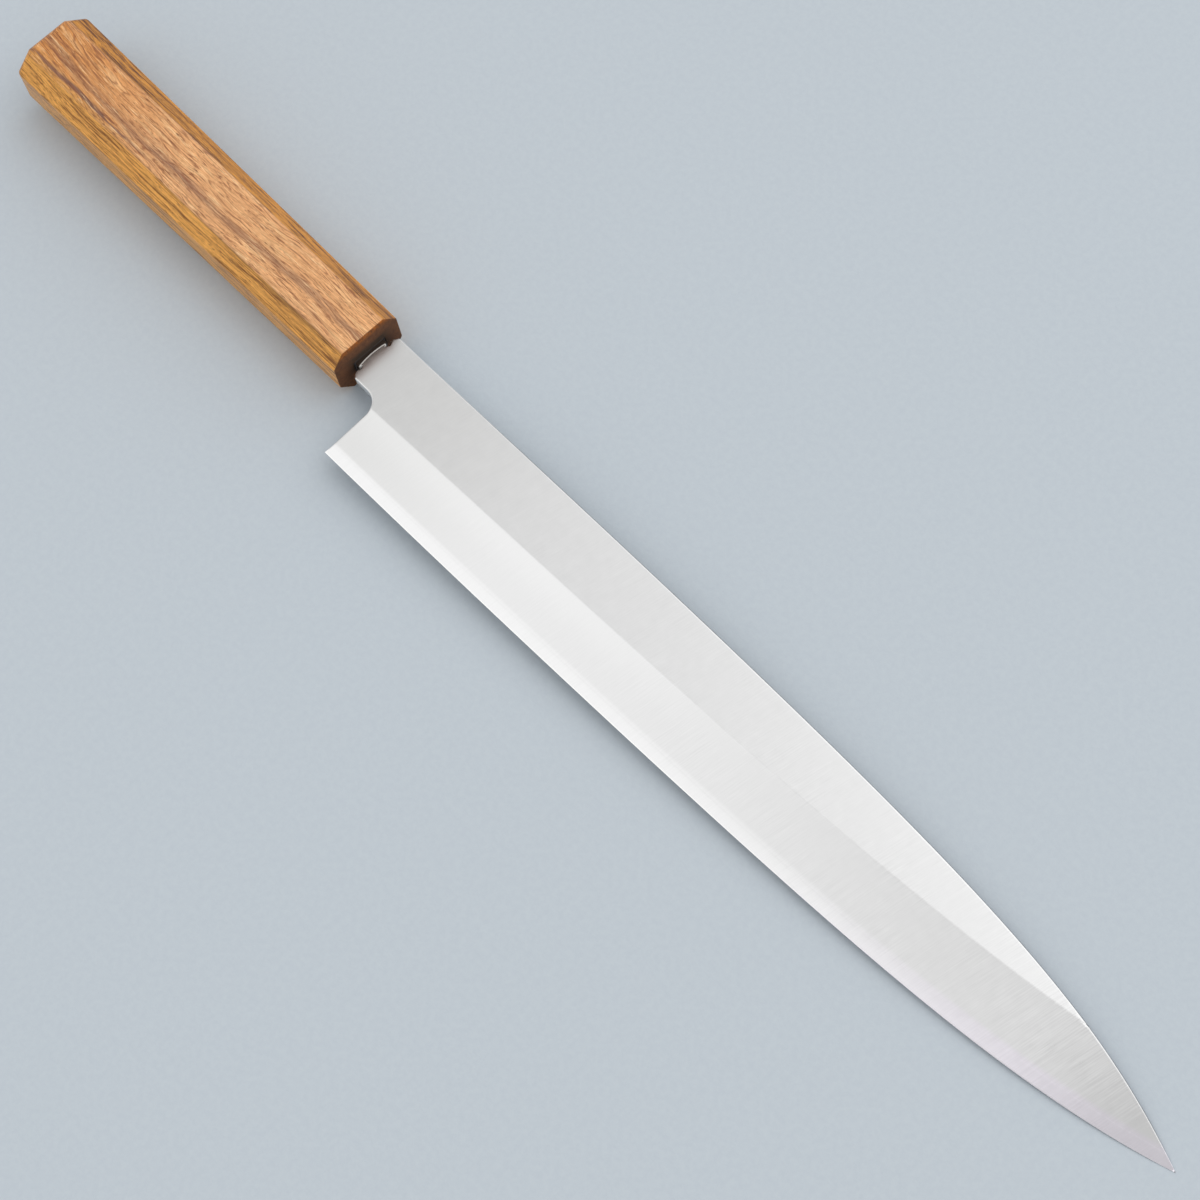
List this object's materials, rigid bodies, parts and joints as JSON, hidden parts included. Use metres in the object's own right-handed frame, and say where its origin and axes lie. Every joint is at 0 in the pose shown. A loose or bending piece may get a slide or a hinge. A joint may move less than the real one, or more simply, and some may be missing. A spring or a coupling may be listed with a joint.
{
  "type": "yanagiba knife",
  "caption": "Long single-bevel slicing knife with a slim pointed blade, hollow-ground back, polished neck and a one-piece octagonal oak handle.",
  "frame": {"origin": "under the middle of the whole knife, at the level of the handle's lowest point, with the bevel side up", "axes": "+X along the knife towards the tip, +Y from the cutting edge towards the spine, +Z out of the bevel side"},
  "size_m": [0.4484, 0.0408, 0.0216],
  "materials": {
    "soft_steel": "ground crosswise to a fine satin",
    "hard_steel": "fine satin, slightly brighter than the soft steel",
    "oak": "wiped with thin lacquer, dark on the end grain",
    "resin": "dark, satin"
  },
  "bodies": {
    "root": {"blade_cladding": "soft_steel", "edge_steel": "hard_steel", "handle": "oak", "tang_bedding": "resin"}
  },
  "joints": []
}
